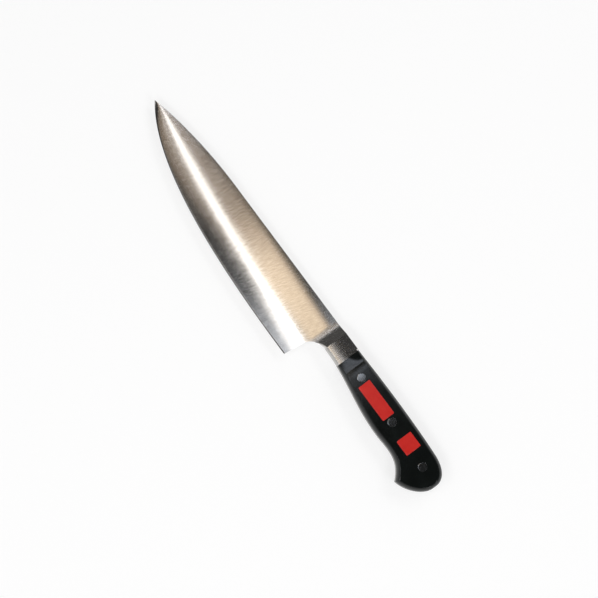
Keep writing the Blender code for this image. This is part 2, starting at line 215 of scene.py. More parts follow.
def handle_half(x, y):
    """Half thickness of bolster and scales. The face is flat on the scales, rolls off before the ramp as
    the square of the way forward, and falls straight along the ramp and along the bolster. To both sides
    of the bolster's highest line it falls as the square of the way out, and that crown fades over the ramp
    as the square of the way forward. At each side it falls by part of an elliptic quarter round."""
    rolled = HALF - ROLL_DROP * np.clip((x + ROLL_START) / (ROLL_START - RAMP_LENGTH), 0, 1) ** 2
    heights = [HALF - ROLL_DROP, BOLSTER_BACK / 2, BOLSTER_FRONT / 2]
    face = np.where(x < -RAMP_LENGTH, rolled, np.interp(x, [-RAMP_LENGTH, 0, BOLSTER_LENGTH], heights))
    drop = np.interp(x, [-RAMP_LENGTH, 0], [HALF - SCALE_SEAT - SCALE_SIDE_FLAT, BOLSTER_ROUND_DROP])
    across = (np.clip(y, 0, NECK_DEPTH) - BOLSTER_TOP) / (NECK_DEPTH / 2)
    crown = np.where(across < 0, CROWN_TO_BACK, CROWN_TO_BELLY) * np.clip(1 + x / RAMP_LENGTH, 0, 1) ** 2
    inward = np.clip(distance_in(x, y) / round_width(x), 0, 1)
    rise = np.sqrt(1 - (1 - ROUND_SHARE * inward) ** 2) / np.sqrt(1 - (1 - ROUND_SHARE) ** 2)
    return face - crown * across**2 - drop * (1 - rise)


def wedge_half(x, down):
    """Half thickness of the wedge at a share of the way down from spine to edge: the spine's, less the
    share to the power of the bulge, so that the face is slightly round. The spine thins by its share of
    the way to the tip, to the power of the thinning."""
    ahead = np.clip((x - BOLSTER_LENGTH) / (TIP[0] - BOLSTER_LENGTH), 0, 1)
    spine = (SPINE_AT_BOLSTER - (SPINE_AT_BOLSTER - SPINE_AT_TIP) * ahead**SPINE_THINNING) / 2
    return WEDGE_THICKNESS / 2 + (spine - WEDGE_THICKNESS / 2) * (1 - down**WEDGE_BULGE)


def blade_half(x, y):
    """The wedge with its spine's corners eased by a quarter round, by a quarter of the tip's thickness at
    most, and its last stretch ground straight to the edge."""
    back = y_at(BACK, x)
    depth = np.where(x < HEEL_X, BLADE_DEPTH, y_at(EDGE, x)) - back
    down = np.clip((y - back) / depth, 0, 1)
    bevel = np.minimum(BEVEL_DEPTH / depth, MOST_ROUND)
    ease = np.minimum(SPINE_EASE / depth, MOST_ROUND)
    eased = SPINE_EASE * (1 - np.sqrt(1 - np.clip(1 - down / ease, 0, 1) ** 2))
    keen = KEEN_EDGE / 2 + (wedge_half(x, 1 - bevel) - KEEN_EDGE / 2) * np.clip((1 - down) / bevel, 0, 1)
    return np.where(down > 1 - bevel, keen, wedge_half(x, down) - np.minimum(eased, SPINE_AT_TIP / 4))


def forging_half(x, y):
    """Half thickness ahead of the joint: the bolster, then a hollow that falls straight and sweeps out
    into the blade over its bend. Of the share of the way that is left, its rise is the share less three
    quarters of the bend, and in the bend the share's fourth power over 4 times the bend's cube, all scaled
    to 1 at the start."""
    bolster = handle_half(x, y)
    blade = blade_half(x, y)
    length = np.interp(y, [0, NECK_DEPTH], [HOLLOW_AT_BACK, HOLLOW_AT_BELLY])
    left = np.clip(1 - (x - BOLSTER_LENGTH) / length, 0, 1)
    rise = np.where(left < HOLLOW_BEND, left**4 / (4 * HOLLOW_BEND**3), left - 0.75 * HOLLOW_BEND)
    hollow = blade + np.maximum(bolster - blade, 0) * rise / (1 - 0.75 * HOLLOW_BEND)
    return np.where(x <= BOLSTER_LENGTH, bolster, hollow)


def stations(stops, spacing):
    """x of a sheet's rows: even steps of about this spacing, with a row on every stop."""
    counts = np.maximum(np.round(np.diff(stops) / spacing), 1).astype(int)
    runs = [np.linspace(a, b, n, endpoint=False) for a, b, n in zip(stops, stops[1:], counts)]
    return np.append(np.concatenate(runs), stops[-1])


def butt_stations(count):
    """x of the rows round the butt: cosine steps, closest together where the outline is steepest."""
    turn = np.linspace(0, np.pi / 2, count, endpoint=False)
    return -HANDLE_LENGTH + HOOK_FROM_BUTT / 2 * (1 - np.cos(turn))


def sheet(rows, upper_rim, lower_rim, rim_steps, face_steps, inset=0.0, crease=0.04):
    """x and y over one side, a row for each x: bunched as squares in a rim of these widths next to the
    back and to the underside, with one more column close to each rim's inner line, and even steps between
    the rims."""
    back, under = y_at(BACK, rows) + inset, y_at(UNDERSIDE, rows) - inset
    depth = under - back
    upper = np.minimum(upper_rim, MOST_ROUND * depth)[:, None]
    lower = np.minimum(lower_rim, MOST_ROUND * depth)[:, None]
    rim = np.append((1 - crease) * np.linspace(0, 1, rim_steps) ** 2, 1)
    span = depth[:, None] - upper - lower
    face = np.concatenate([[crease / 4], np.linspace(0, 1, face_steps + 1)[1:-1], [1 - crease / 4]])
    y = np.concatenate([upper * rim, upper + span * face, depth[:, None] - lower * rim[::-1]], axis=1)
    return np.broadcast_to(rows[:, None], y.shape), back[:, None] + y


def block_edge(index, rows, columns):
    """The points round a block of a sheet's cells, counterclockwise seen from above."""
    (i, m), (j, n) = rows, columns
    return np.concatenate([index[i:m, j], index[m, j:n], index[m:i:-1, n], index[i, n:j:-1]])


def band(outer, inner):
    """A face between each step of two loops of as many points."""
    return np.stack([outer, inner, np.roll(inner, -1), np.roll(outer, -1)], axis=-1).tolist()


def block_around(x, y, low, high):
    """Rows and columns of the least block of cells that holds the box from low to high."""
    i, m = np.searchsorted(x[:, 0], low[0], "right") - 1, np.searchsorted(x[:, 0], high[0])
    j = (y[i : m + 1].max(axis=0) <= low[1]).sum() - 1
    n = (y[i : m + 1].min(axis=0) < high[1]).sum()
    return (i, m), (j, n)


def rounded_loop(block, centre, half, corner, turn):
    """x and y round a rectangle with round corners, with a point for each on the block's edge: at each end
    of a side the share turn of its steps follows an eighth of a circle, and the rest is even along the
    straight."""
    cells = [block[0][1] - block[0][0], block[1][1] - block[1][0]]
    sides = []
    for quarter in range(4):
        t = np.arange(cells[quarter % 2]) / cells[quarter % 2]
        straight = (half[quarter % 2] - corner) * np.interp(t, [0, turn, 1 - turn, 1], [-1, -1, 1, 1])
        angle = np.pi / 4 * np.interp(t, [0, turn, 1 - turn, 1], [-1, 0, 0, 1])
        out = half[1 - quarter % 2] - corner + corner * np.cos(angle)
        sides.append((straight + corner * np.sin(angle) - 1j * out) * 1j**quarter)
    loop = np.concatenate(sides)
    return centre[0] + loop.real, centre[1] + loop.imag


def circle(block, centre, radius):
    """A rounded loop whose corners take up the whole of its sides, which is a circle."""
    return rounded_loop(block, centre, (radius, radius), radius, turn=0.5)


def at_height(loop, z):
    """A loop of x and y with this z."""
    return np.stack([*loop, np.full(len(loop[0]), z)], axis=-1)


def shell(upper, lower, holes=()):
    """A closed solid between two sheets of as many rows and columns, with a wall round their rims. A hole
    is a block of cells and loops that go down from the upper sheet: to the lower one, or else to a floor
    that closes the last loop."""
    rows, columns = upper.shape[:2]
    top = np.arange(rows * columns).reshape(rows, columns)
    bottom = top + top.size
    points = [upper.reshape(-1, 3), lower.reshape(-1, 3)]
    whole = (0, rows - 1), (0, columns - 1)
    faces = band(block_edge(top, *whole), block_edge(bottom, *whole))
    kept = np.ones((2, rows - 1, columns - 1), bool)
    for block, loops, through in holes:
        kept[: 1 + through, block[0][0] : block[0][1], block[1][0] : block[1][1]] = False
        first = sum(len(some) for some in points)
        inner = first + np.arange(len(loops) * len(loops[0])).reshape(len(loops), -1)
        chain = [block_edge(top, *block), *inner] + [block_edge(bottom, *block)] * through
        for above, below in zip(chain, chain[1:]):
            faces += band(below, above)
        if not through:
            faces.append(chain[-1].tolist())
        points += loops
    for index, keep in zip((top, bottom[:, ::-1]), (kept[0], kept[1][:, ::-1])):
        quads = np.stack([index[:-1, :-1], index[1:, :-1], index[1:, 1:], index[:-1, 1:]], axis=-1)
        faces += quads[keep].tolist()
    return np.concatenate(points), faces


def new_piece(name, points, faces, *finishes, smooth_up_to=0.5):
    """A mesh object from points in the knife's own frame, smooth but for edges that turn by more radians
    than smooth_up_to."""
    mesh = bpy.data.meshes.new(name)
    mesh.from_pydata((points + DATUM).tolist(), [], faces)
    for finish in finishes:
        mesh.materials.append(finish)
    mesh.shade_smooth()
    mesh.set_sharp_from_angle(angle=smooth_up_to)
    piece = bpy.data.objects.new(name, mesh)
    bpy.context.scene.collection.objects.link(piece)
    return piece


def linear(hex_colour):
    """The linear colour of an sRGB hex value, with alpha."""
    shares = np.array([int(hex_colour[i : i + 2], 16) for i in (0, 2, 4)]) / 255
    return (*np.where(shares <= 0.04045, shares / 12.92, ((shares + 0.055) / 1.055) ** 2.4), 1.0)


def add(tree, kind, sockets=(), **settings):
    """Adds a node with its settings. Its sockets take values, or links from another node's sockets."""
    node = tree.nodes.new("ShaderNode" + kind)
    for setting, value in settings.items():
        setattr(node, setting, value)
    for socket, value in dict(sockets).items():
        if isinstance(value, bpy.types.NodeSocket):
            tree.links.new(value, node.inputs[socket])
        else:
            node.inputs[socket].default_value = value
    return node


def new_finish(name):
    """An empty material, and its node tree with only the shader and the output."""
    finish = bpy.data.materials.new(name)
    finish.use_nodes = True
    return finish, finish.node_tree, finish.node_tree.nodes["Principled BSDF"]


def rough_sides(tree, rough, more):
    """The roughness of a piece that is buffed on its face and only sanded on its sides: it grows by this
    much where the normal leaves the z axis, from a z share of 0.95 to one of 0.7."""
    normal = add(tree, "NewGeometry").outputs["True Normal"]
    upright = add(tree, "SeparateXYZ", {0: normal}).outputs["Z"]
    upright = add(tree, "Math", {0: upright}, operation="ABSOLUTE").outputs[0]
    extra = add(tree, "MapRange", {"Value": upright, "From Min": 0.95, "From Max": 0.7, "To Max": more})
    return add(tree, "Math", {0: rough, 1: extra.outputs[0]}, operation="ADD").outputs[0]


# A noise texture hardly leaves this range, so a finish stretches it to the whole of its own.
NOISE_RANGE = {"From Min": 0.3, "From Max": 0.7}


def satin_ground_steel():
    """Stainless steel ground on a fine belt: the lines run from spine to edge, so that a light's
    reflection is drawn out along the blade. The real lines are 0.1 mm apart, too fine to show, and are
    drawn 0.8 mm apart and 6 mm long. Where they run out into the hollow the steel is duller and darker."""
    finish, tree, shader = new_finish("satin_ground_stainless_steel")
    spacing, length, cloud_size = 0.0008, 0.006, 0.03
    place = add(tree, "TexCoord").outputs["Object"]
    round_section = add(tree, "UVMap", uv_map="grind").outputs[0]
    stretch = (1 / spacing, 1 / length, 1)
    lines_at = add(tree, "Mapping", {"Vector": round_section, "Scale": stretch}).outputs[0]
    lines = add(tree, "TexNoise", {"Vector": lines_at, "Scale": 1.0, "Detail": 3.0}).outputs[0]
    cloud = add(tree, "TexNoise", {"Vector": place, "Scale": 1 / cloud_size, "Detail": 2.0}).outputs[0]
    tint = add(tree, "MapRange", {"Value": lines, **NOISE_RANGE}).outputs[0]
    colour = add(tree, "Mix", {0: tint, 6: linear("BDB9B4"), 7: linear("D0CDC9")}, data_type="RGBA")
    rough = add(tree, "MapRange", {"Value": lines, **NOISE_RANGE, "To Min": 0.08, "To Max": 0.10})
    smear = add(tree, "MapRange", {"Value": cloud, **NOISE_RANGE, "To Min": -0.01, "To Max": 0.01})
    both = add(tree, "Math", {0: rough.outputs[0], 1: smear.outputs[0]}, operation="ADD")
    along_x = add(tree, "SeparateXYZ", {0: place}).outputs["X"]
    off = add(tree, "Math", {0: along_x, 1: DATUM[0] + DULL_AT}, operation="SUBTRACT").outputs[0]
    off = add(tree, "Math", {0: off}, operation="ABSOLUTE").outputs[0]
    fade = {"From Min": DULL_REACH, "From Max": DULL_FULL, "To Max": DULL_MORE}
    dull = add(tree, "MapRange", {"Value": off, **fade}, interpolation_type="SMOOTHSTEP")
    both = add(tree, "Math", {0: both.outputs[0], 1: dull.outputs[0]}, operation="ADD")
    relief = add(tree, "Bump", {"Height": lines, "Distance": 0.0000012, "Strength": 1.0})
    along = add(tree, "Tangent", direction_type="UV_MAP", uv_map="grind")
    tree.links.new(colour.outputs[2], shader.inputs["Base Color"])
    tree.links.new(both.outputs[0], shader.inputs["Roughness"])
    tree.links.new(relief.outputs[0], shader.inputs["Normal"])
    tree.links.new(along.outputs[0], shader.inputs["Tangent"])
    shader.inputs["Metallic"].default_value = 1.0
    shader.inputs["Anisotropic"].default_value = 0.88
    return finish


def buffed_steel():
    """The bolster's and the tang's steel: the belt's lines are buffed down until they hardly show, which
    leaves a soft even gloss. They are drawn 0.5 mm apart and 8 mm long, coarser than they are, so that
    they just show."""
    finish, tree, shader = new_finish("buffed_stainless_steel")
    spacing, length = 0.0005, 0.008
    place = add(tree, "TexCoord").outputs["Object"]
    stretch = (1 / spacing, 1 / length, 1 / length)
    lines_at = add(tree, "Mapping", {"Vector": place, "Scale": stretch}).outputs[0]
    lines = add(tree, "TexNoise", {"Vector": lines_at, "Scale": 1.0, "Detail": 2.0}).outputs[0]
    tint = add(tree, "MapRange", {"Value": lines, **NOISE_RANGE}).outputs[0]
    colour = add(tree, "Mix", {0: tint, 6: linear("BDBAB6"), 7: linear("C8C6C3")}, data_type="RGBA")
    rough = add(tree, "MapRange", {"Value": lines, **NOISE_RANGE, "To Min": 0.13, "To Max": 0.18})
    relief = add(tree, "Bump", {"Height": lines, "Distance": 0.0000006, "Strength": 1.0})
    tree.links.new(colour.outputs[2], shader.inputs["Base Color"])
    tree.links.new(rough_sides(tree, rough.outputs[0], 0.35), shader.inputs["Roughness"])
    tree.links.new(relief.outputs[0], shader.inputs["Normal"])
    shader.inputs["Metallic"].default_value = 1.0
    return finish


def rivet_places():
    """x and y of the three rivets, on a straight line from the middle of the handle's front to the butt."""
    front_x, rear_x = -FRONT_RIVET_INSET, REAR_RIVET_INSET - HANDLE_LENGTH
    front_y = (y_at(BACK, front_x) + y_at(UNDERSIDE, front_x)) / 2
    rear_y = BUTT_DEPTH - REAR_RIVET_RISE
    middle = ((front_x + rear_x) / 2, (front_y + rear_y) / 2)
    return {"front": (front_x, front_y), "middle": middle, "rear": (rear_x, rear_y)}


RIVETS = rivet_places()
tang_stops = [HOOK_FROM_BUTT / 2 - HANDLE_LENGTH, -TANG_INSET]
tang_rows = np.concatenate([butt_stations(count=16), stations(tang_stops, ROW_STEP)])
hollow_stops = [BOLSTER_LENGTH, BOLSTER_LENGTH + HOLLOW_AT_BACK, HEEL_X - HEEL_LEAN, HEEL_X]
blade_rows = np.concatenate([
    stations([0, BOLSTER_LENGTH], ROW_STEP)[:-1],
    stations(hollow_stops, HOLLOW_ROW_STEP),
    HEEL_X + (TIP[0] - HEEL_X) * np.sin(np.linspace(0, np.pi / 2, BLADE_ROWS)[1:-1]),
])
rows = np.concatenate([tang_rows, blade_rows])
on_blade = np.clip((rows - BOLSTER_LENGTH) / HOLLOW_AT_BACK, 0, 1)
back_rim = round_width(rows) * steepness(BACK, rows) * (1 - on_blade) + SPINE_EASE * on_blade
belly_rim = round_width(rows) * np.minimum(steepness(UNDERSIDE, rows), MOST_STEEP)
belly_rim = belly_rim * (1 - on_blade) + BEVEL_DEPTH * on_blade
on_tang = len(tang_rows)
inset = np.where(np.arange(len(rows)) < on_tang, TANG_INSET, 0)
x, y = sheet(rows, back_rim, belly_rim, rim_steps=6, face_steps=30, inset=inset)
tang_z = np.full((on_tang, x.shape[1]), TANG_THICKNESS / 2)
z = np.concatenate([tang_z, forging_half(x[on_tang:], y[on_tang:])])
bores = []
for centre in RIVETS.values():
    reach = BORE_RADIUS * BORE_REACH
    block = block_around(x[:on_tang], y[:on_tang], np.array(centre) - reach, np.array(centre) + reach)
    loop = circle(block, centre, BORE_RADIUS)
    bores.append((block, [at_height(loop, TANG_THICKNESS / 2), at_height(loop, -TANG_THICKNESS / 2)], True))
points, faces = shell(np.stack([x, y, z], -1), np.stack([x, y, -z], -1), bores)
forging = new_piece("forging", points, faces, satin_ground_steel(), buffed_steel())

# The grind map is the forging's UV map, in metres. It runs along the knife in u and round the section in
# v, from the middle of the spine, and is turned so that v follows the belt, which leans to the tip on its
# way down.
GRIND_LEAN = np.radians(16.7)
girth = np.hypot(np.diff(y, axis=1), np.diff(z, axis=1)).cumsum(axis=1)
girth = np.concatenate([z[:, :1], z[:, :1] + girth], axis=1)
v = np.concatenate([girth.ravel(), -girth.ravel(), points[2 * x.size:, 1]])
corner = np.empty(len(forging.data.loops), int)
forging.data.loops.foreach_get("vertex_index", corner)
grind = forging.data.uv_layers.new(name="grind")
u = points[:, 0] * np.cos(GRIND_LEAN) - np.abs(v) * np.sin(GRIND_LEAN)
v = v * np.cos(GRIND_LEAN) + np.sign(v) * points[:, 0] * np.sin(GRIND_LEAN)
grind.data.foreach_set("uv", np.stack([u[corner], v[corner]], -1).ravel().astype(np.float32))
middle = np.empty(len(forging.data.polygons) * 3)
forging.data.polygons.foreach_get("center", middle)
is_buffed = middle[::3] - DATUM[0] < BOLSTER_LENGTH
forging.data.polygons.foreach_set("material_index", is_buffed.astype(np.int32))
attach(forging, "root")
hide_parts("blade")


# The scales: two slabs of black acetal plastic, milled to the outline of the tang, riveted to it, and
# sanded and buffed with it. Each has a flat face with a rounded edge all round, a ramp down to the
# bolster, and counterbores for the rivets; the left one also has two shallow recesses for the red plates.
HEAD_RADIUS = 0.00325
HEAD_THICKNESS = 0.0012
HEAD_SEAM = 0.00006
HEAD_MARGIN = 0.0004
SEAT_LINE = 0.00002
CREASE_STEP = 0.0001
SCALE_ROW_STEP = 0.0005
PLATE_THICKNESS = 0.0004
PLATE_CORNER = 0.0007
PLATE_SEAM = 0.00008
PLATE_MARGIN = 0.0003
PLATE_RISE = 0.0003
LONG_PLATE_WIDTH = 0.0100
SQUARE_PLATE_SIDE = 0.0125


def plate_places():
    """Centre and half size of the two plates. The long one is as long as its node and lies half way
    between the front and the middle rivet, and the square one half way between the middle and the rear
    rivet."""
    front, middle, rear = RIVETS["front"][0], RIVETS["middle"][0], RIVETS["rear"][0]
    y = RIVETS["middle"][1] - PLATE_RISE
    long_low, long_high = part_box("label_plate_long")
    side = SQUARE_PLATE_SIDE / 2
    long_half = (long_high.x - long_low.x) / 2
    return {
        "long": (((front + middle) / 2, y), (long_half, LONG_PLATE_WIDTH / 2)),
        "square": (((middle + rear) / 2, y), (side, side)),
    }


def black_acetal():
    """Acetal, a dense black plastic, sanded and then buffed: it has a dull, slightly waxy gloss with fine
    lines along the handle. The real lines are finer than 0.1 mm and are drawn 0.4 mm apart and 12 mm
    long."""
    finish, tree, shader = new_finish("buffed_black_acetal")
    spacing, length, cloud_size = 0.0004, 0.012, 0.012
    place = add(tree, "TexCoord").outputs["Object"]
    stretch = (1 / length, 1 / spacing, 1 / spacing)
    lines_at = add(tree, "Mapping", {"Vector": place, "Scale": stretch}).outputs[0]
    lines = add(tree, "TexNoise", {"Vector": lines_at, "Scale": 1.0, "Detail": 2.0}).outputs[0]
    cloud = add(tree, "TexNoise", {"Vector": place, "Scale": 1 / cloud_size, "Detail": 3.0}).outputs[0]
    tint = add(tree, "MapRange", {"Value": cloud, **NOISE_RANGE}).outputs[0]
    colour = add(tree, "Mix", {0: tint, 6: linear("0A0D0C"), 7: linear("101413")}, data_type="RGBA")
    worn = add(tree, "MapRange", {"Value": cloud, **NOISE_RANGE, "To Min": 0.08, "To Max": 0.12})
    fine = add(tree, "MapRange", {"Value": lines, **NOISE_RANGE, "To Min": -0.02, "To Max": 0.02})
    rough = add(tree, "Math", {0: worn.outputs[0], 1: fine.outputs[0]}, operation="ADD")
    relief = add(tree, "Bump", {"Height": lines, "Distance": 0.000004, "Strength": 1.0})
    tree.links.new(colour.outputs[2], shader.inputs["Base Color"])
    tree.links.new(rough_sides(tree, rough.outputs[0], 0.3), shader.inputs["Roughness"])
    tree.links.new(relief.outputs[0], shader.inputs["Normal"])
    shader.inputs["IOR"].default_value = 1.52
    return finish


PLATES = plate_places()
acetal = black_acetal()
crease_stops = [-RAMP_LENGTH - CREASE_STEP, -RAMP_LENGTH, -RAMP_LENGTH + CREASE_STEP]
scale_stops = [HOOK_FROM_BUTT / 2 - HANDLE_LENGTH, *crease_stops, -SEAT_LINE]
scale_rows = np.concatenate([butt_stations(count=40), stations(scale_stops, SCALE_ROW_STEP)])
scale_rims = [round_width(scale_rows) * steepness(line, scale_rows) for line in (BACK, UNDERSIDE)]
x, y = sheet(scale_rows, *scale_rims, rim_steps=12, face_steps=40)
outer = handle_half(x, y)
seat = np.full(x.shape, TANG_THICKNESS / 2 + SEAT_LINE)
for name, side in (("scale_left", 1), ("scale_right", -1)):
    holes = []
    for centre in RIVETS.values():
        reach = HEAD_RADIUS + HEAD_SEAM + HEAD_MARGIN
        block = block_around(x, y, np.array(centre) - reach, np.array(centre) + reach)
        head = circle(block, centre, HEAD_RADIUS + HEAD_SEAM)
        bore = circle(block, centre, BORE_RADIUS)
        floor = HALF - HEAD_THICKNESS - HEAD_SEAM
        holes.append((block, [at_height(head, HALF), at_height(head, floor), at_height(bore, floor),
                              at_height(bore, seat[0, 0])], True))
    recesses = PLATES.values() if side > 0 else ()
    for centre, half in recesses:
        reach = np.array(half) + PLATE_SEAM
        block = block_around(x, y, centre - reach - PLATE_MARGIN, centre + reach + PLATE_MARGIN)
        rim = rounded_loop(block, centre, reach, PLATE_CORNER + PLATE_SEAM, turn=0.1)
        depth = PLATE_THICKNESS + PLATE_SEAM
        holes.append((block, [at_height(rim, HALF), at_height(rim, HALF - depth)], False))
    points, faces = shell(np.stack([x, y, outer], -1), np.stack([x, y, seat], -1), holes)
    points[:, 2] *= side
    scale = new_piece(name + "_milled", points, [face[::side] for face in faces], acetal)
    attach(scale, "root")
    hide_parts(name)


# The rivets: three cutler's rivets of stainless steel hold the handle. Each is a solid pin pressed into a
# tube, with a broad flat head on both; the heads are ground flush with the scales and take the same fine
# lines.
PIN_RADIUS = 0.0012
PIN_SHORT = 0.0003
TUBE_FLOOR = 0.0006
HEAD_EASE = 0.00006
HEAD_CROWN = 0.00001
TURNED_STEPS = 96
PRESS_GAP = 0.00003


def turned(profile, centre):
    """A solid turned about a line through the centre: points of a radius and a z are carried round it in
    even steps, and the ends are closed flat."""
    angle = np.linspace(0, 2 * np.pi, TURNED_STEPS, endpoint=False)
    radius, z = np.array(profile).T[:, :, None]
    ring_x, ring_y = centre[0] + radius * np.cos(angle), centre[1] + radius * np.sin(angle)
    points = np.stack([ring_x, ring_y, np.broadcast_to(z, ring_x.shape)], -1)
    index = np.arange(ring_x.size).reshape(ring_x.shape)
    faces = [face for above, below in zip(index, index[1:]) for face in band(above, below)]
    return points.reshape(-1, 3), faces + [index[0].tolist(), index[-1][::-1].tolist()]


def head_profile():
    """The head from near its middle out: a faint crown that falls as the square of the radius, a rim eased
    by a quarter round, and the side."""
    radius = (HEAD_RADIUS - HEAD_EASE) * np.array([0.05, 0.25, 0.5, 0.75, 0.9, 1.0])
    crown = [(r, HALF - HEAD_CROWN * (r / HEAD_RADIUS) ** 2) for r in radius]
    side = [(HEAD_RADIUS - HEAD_EASE * (1 - np.sin(a)), HALF - HEAD_CROWN - HEAD_EASE * (1 - np.cos(a)))
            for a in np.linspace(0, np.pi / 2, 5)[1:]]
    return crown + side + [(HEAD_RADIUS, HALF - HEAD_THICKNESS)]


def ground_rivet_steel():
    """Stainless rivet heads, ground with the handle: fine straight lines along it, darker and softer than
    the blade. They are drawn 0.3 mm apart and 6 mm long, coarser than they are, so that they just show."""
    finish, tree, shader = new_finish("ground_stainless_rivet")
    spacing, length = 0.0003, 0.006
    place = add(tree, "TexCoord").outputs["Object"]
    stretch = (1 / length, 1 / spacing, 1 / spacing)
    lines_at = add(tree, "Mapping", {"Vector": place, "Scale": stretch}).outputs[0]
    lines = add(tree, "TexNoise", {"Vector": lines_at, "Scale": 1.0, "Detail": 2.0}).outputs[0]
    tint = add(tree, "MapRange", {"Value": lines, **NOISE_RANGE}).outputs[0]
    colour = add(tree, "Mix", {0: tint, 6: linear("828486"), 7: linear("929496")}, data_type="RGBA")
    rough = add(tree, "MapRange", {"Value": lines, **NOISE_RANGE, "To Min": 0.09, "To Max": 0.12})
    relief = add(tree, "Bump", {"Height": lines, "Distance": 0.0000003, "Strength": 1.0})
    tree.links.new(colour.outputs[2], shader.inputs["Base Color"])
    tree.links.new(rough.outputs[0], shader.inputs["Roughness"])
    tree.links.new(relief.outputs[0], shader.inputs["Normal"])
    shader.inputs["Metallic"].default_value = 1.0
    return finish


rivet_steel = ground_rivet_steel()
tube_radius = BORE_RADIUS - PRESS_GAP
hole_radius = PIN_RADIUS + PRESS_GAP
near_axis = PIN_RADIUS / 10
tube_end = HALF - HEAD_THICKNESS - PRESS_GAP
tube_floor = TUBE_FLOOR + HEAD_THICKNESS - HALF
pin_end = tube_floor + PIN_SHORT
pin = head_profile() + [(PIN_RADIUS, HALF - HEAD_THICKNESS), (PIN_RADIUS, pin_end), (near_axis, pin_end)]
tube = head_profile() + [
    (tube_radius, HALF - HEAD_THICKNESS),
    (tube_radius, -tube_end),
    (hole_radius, -tube_end),
    (hole_radius, -tube_floor),
    (near_axis, -tube_floor),
]
for place, centre in RIVETS.items():
    for half, profile, side in (("pin", pin, 1), ("tube", tube, -1)):
        points, faces = turned(profile, centre)
        points[:, 2] *= side
        faces = [face[::side] for face in faces]
        rivet = new_piece(f"rivet_{place}_{half}_turned", points, faces, rivet_steel)
        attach(rivet, "root")
        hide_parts(f"rivet_{place}_{half}")


# The label plates: two thin plates of red enamelled plastic, glued into the left scale's recesses and flush
# with its face. Both are bare.
PLATE_EASE = 0.00012
PLATE_STEPS = (24, 12)


def red_enamel():
    """Moulded plastic with a red enamel face: a clear even gloss with a faint ripple about 2 mm wide, and
    clouds of slightly deeper red about 8 mm wide."""
    finish, tree, shader = new_finish("gloss_red_enamel")
    ripple_size, cloud_size = 0.002, 0.008
    place = add(tree, "TexCoord").outputs["Object"]
    ripple = add(tree, "TexNoise", {"Vector": place, "Scale": 1 / ripple_size, "Detail": 1.0}).outputs[0]
    cloud = add(tree, "TexNoise", {"Vector": place, "Scale": 1 / cloud_size, "Detail": 2.0}).outputs[0]
    tint = add(tree, "MapRange", {"Value": cloud, **NOISE_RANGE}).outputs[0]
    colour = add(tree, "Mix", {0: tint, 6: linear("C8221C"), 7: linear("D02A23")}, data_type="RGBA")
    rough = add(tree, "MapRange", {"Value": ripple, **NOISE_RANGE, "To Min": 0.19, "To Max": 0.23})
    relief = add(tree, "Bump", {"Height": ripple, "Distance": 0.0000005, "Strength": 1.0})
    tree.links.new(colour.outputs[2], shader.inputs["Base Color"])
    tree.links.new(rough.outputs[0], shader.inputs["Roughness"])
    tree.links.new(relief.outputs[0], shader.inputs["Normal"])
    shader.inputs["IOR"].default_value = 1.5
    return finish


# A plate is a stack of loops: one inside the face, five round the eased edge and one at the foot.
enamel = red_enamel()
block = (0, PLATE_STEPS[0]), (0, PLATE_STEPS[1])
angle = np.linspace(0, np.pi / 2, 5)
insets = PLATE_EASE * np.append(3, 1 - np.sin(angle))
drops = PLATE_EASE * np.append(0, 1 - np.cos(angle))
insets, drops = np.append(insets, 0), np.append(drops, PLATE_THICKNESS)
for name, (centre, half) in PLATES.items():
    loops = []
    for inset, drop in zip(insets, drops):
        loop = rounded_loop(block, centre, np.array(half) - inset, PLATE_CORNER - inset, turn=0.2)
        loops.append(at_height(loop, HALF - drop))
    index = np.arange(len(loops) * len(loops[0])).reshape(len(loops), -1)
    faces = [face for above, below in zip(index, index[1:]) for face in band(above, below)]
    faces += [index[0].tolist(), index[-1][::-1].tolist()]
    plate = new_piece(f"label_plate_{name}_enamelled", np.concatenate(loops), faces, enamel)
    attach(plate, "root")
    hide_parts(f"label_plate_{name}")


# The floor: a plain white sheet of paper that the knife lies on, just clear of it. It isn't part of the
# knife, and shows only the knife's faint shadow.
FLOOR_SIZE = 8.0
FLOOR_GAP = 0.0002
FLOOR_GLOW = 0.69


def white_sheet():
    """Plain white paper. Cameras and mirror reflections see it lit to white, with the knife's shadow kept,
    and it throws the light of plain white paper back on the knife."""
    finish, tree, shader = new_finish("white_paper_floor")
    path = add(tree, "LightPath").outputs
    seen = add(tree, "Math", {0: path["Is Camera Ray"], 1: path["Is Glossy Ray"]}, operation="MAXIMUM")
    seen = add(tree, "Math", {0: seen.outputs[0], 1: path["Is Transmission Ray"]}, operation="MAXIMUM")
    paper = add(tree, "BsdfDiffuse", {"Color": linear("E0E0E0")})
    shaded = add(tree, "BsdfDiffuse", {"Color": linear("A0A0A0")})
    glow = add(tree, "Emission", {"Strength": FLOOR_GLOW})
    white = add(tree, "AddShader", {0: shaded.outputs[0], 1: glow.outputs[0]})
    mixed = add(tree, "MixShader", {0: seen.outputs[0], 1: paper.outputs[0], 2: white.outputs[0]})
    tree.links.new(mixed.outputs[0], tree.nodes["Material Output"].inputs["Surface"])
    tree.nodes.remove(shader)
    return finish


ends = [-FLOOR_SIZE / 2, FLOOR_SIZE / 2]
along, across = np.meshgrid(ends, ends)
ground = np.stack([along.ravel(), across.ravel(), np.full(4, cad_box[0][2] - FLOOR_GAP)], -1) - DATUM
floor = new_piece("floor", ground, [[0, 1, 3, 2]], white_sheet())


# The light: pale walls all round, a black ceiling over the knife, so that only the lamps under it show in
# the flat faces, and a dark door past the tip. Narrow strips draw the blade's bright streak, cards light
# its upper half and the scales' ramps, and broad boxes that no face mirrors light the rest.
CEILING_LEVEL = 0.045
CEILING_FROM = 0.92
WALL_LEVEL = 0.55
WALL_FROM = 0.82
DOOR_LEVEL = 0.10
DOOR_MIDDLE = -0.1
DOOR_HALF = 0.25
DOOR_FADE = 0.10


